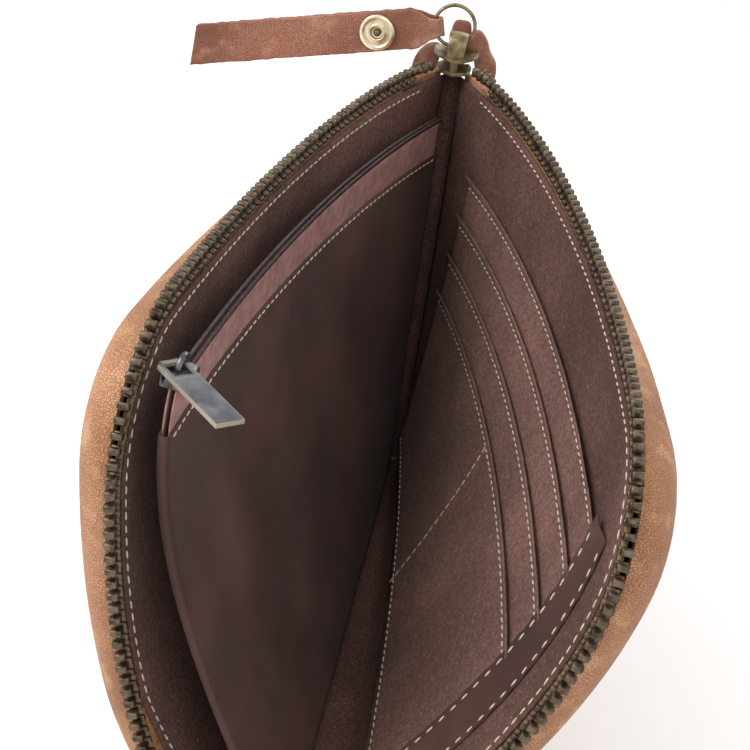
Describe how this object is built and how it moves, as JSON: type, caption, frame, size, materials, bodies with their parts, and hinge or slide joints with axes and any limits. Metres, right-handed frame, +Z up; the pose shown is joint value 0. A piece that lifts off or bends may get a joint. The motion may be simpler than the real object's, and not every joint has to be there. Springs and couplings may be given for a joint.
{
  "type": "zippered pouch",
  "caption": "Soft leather zip pouch standing open on its bottom fold, with a corner zip, a ring strap with a snap, an inner zipped pocket and card slots.",
  "frame": {"origin": "middle of the underside of the bottom fold, halfway between the closed end and the zipped end", "axes": "+X along the fold towards the zipped end, the front cover with the inner pocket on the -Y side, the card slots on the +Y side, +Z up"},
  "size_m": [0.2348, 0.1566, 0.1668],
  "materials": {
    "leather": "soft tan pull-up leather, waxed",
    "strap_leather": "reddish brown leather with raw edges",
    "lining": "dark brown woven cotton",
    "card_cloth": "brushed brown cloth",
    "twill": "dark brown twill",
    "pocket_tape": "woven zip tape",
    "tape": "woven zip tape",
    "coil": "moulded coil",
    "antique_brass": "antique, brushed on the high points",
    "gunmetal": "dark nickel, worn at the edges",
    "light_brass": "pale, satin"
  },
  "bodies": {
    "shell": {"leather_bottom": "leather", "leather_end": "leather", "leather_back": "leather", "leather_front_base": "leather", "lining_bottom": "lining", "lining_end": "lining", "lining_back": "lining", "lining_front_base": "lining", "card_panel": "card_cloth", "card_tier_1": "card_cloth", "card_tier_2": "card_cloth", "card_tier_3": "card_cloth", "card_tier_4": "card_cloth", "card_hem": "lining", "pocket_fold": "twill", "pocket_face_base": "twill", "pocket_back_base": "twill", "tape_back": "tape", "teeth_back": "antique_brass", "teeth_front_held": "antique_brass", "top_stop_back": "antique_brass", "bottom_stop": "antique_brass", "zip_tab": "leather"},
    "front_cover": {"leather_front_flap": "leather", "lining_front_flap": "lining", "tape_front": "tape", "teeth_front": "antique_brass", "top_stop_front": "antique_brass"},
    "pocket": {"pocket_face_flap": "twill", "pocket_back_flap": "twill", "pocket_tape_face": "pocket_tape", "pocket_tape_back": "pocket_tape", "pocket_coil_face": "coil", "pocket_coil_back": "coil", "pocket_stop": "antique_brass"},
    "pocket_slider": {"pocket_slider": "gunmetal"},
    "pocket_pull": {"pocket_pull": "gunmetal"},
    "slider": {"slider_body": "antique_brass", "slider_bail": "antique_brass"},
    "ring": {"pull_ring": "antique_brass"},
    "strap": {"strap": "strap_leather", "snap_socket": "light_brass", "snap_spring": "light_brass", "snap_cap": "light_brass"}
  },
  "joints": [
    {"name": "front_cover_fold", "type": "hinge", "parent": "shell", "child": "front_cover", "pos_m": [0, 0, 0.076], "axis": [-0.8237, 0, 0.567], "range_deg": [0, 30]},
    {"name": "pocket_fold_line", "type": "hinge", "parent": "shell", "child": "pocket", "pos_m": [0, 0, 0.076], "axis": [-0.8237, 0, 0.567], "range_deg": [0, 30]},
    {"name": "pocket_slider_slide", "type": "slide", "parent": "pocket", "child": "pocket_slider", "axis": [-0.9966, 0.076, 0.0329], "range_m": [0, 0.06]},
    {"name": "pocket_pull_lift", "type": "hinge", "parent": "pocket_slider", "child": "pocket_pull", "pos_m": [0.09562, -0.03506, 0.12609], "axis": [0.717, -0.6957, 0.0428], "range_deg": [0, 30]},
    {"name": "slider_slide", "type": "slide", "parent": "shell", "child": "slider", "axis": [1, 0, 0], "range_m": [0, 0.003]},
    {"name": "ring_tip", "type": "hinge", "parent": "slider", "child": "ring", "pos_m": [-0.1075, 0, 0.1537], "axis": [0, 1, 0], "range_deg": [-30, 30]},
    {"name": "strap_swing", "type": "hinge", "parent": "ring", "child": "strap", "pos_m": [-0.1075, -0.00821, 0.15823], "axis": [0, -0.2419, 0.9703], "range_deg": [-45, 45]}
  ],
  "couplings": [
    {"joint": "pocket_fold_line", "follows": "front_cover_fold", "ratio": 1}
  ]
}
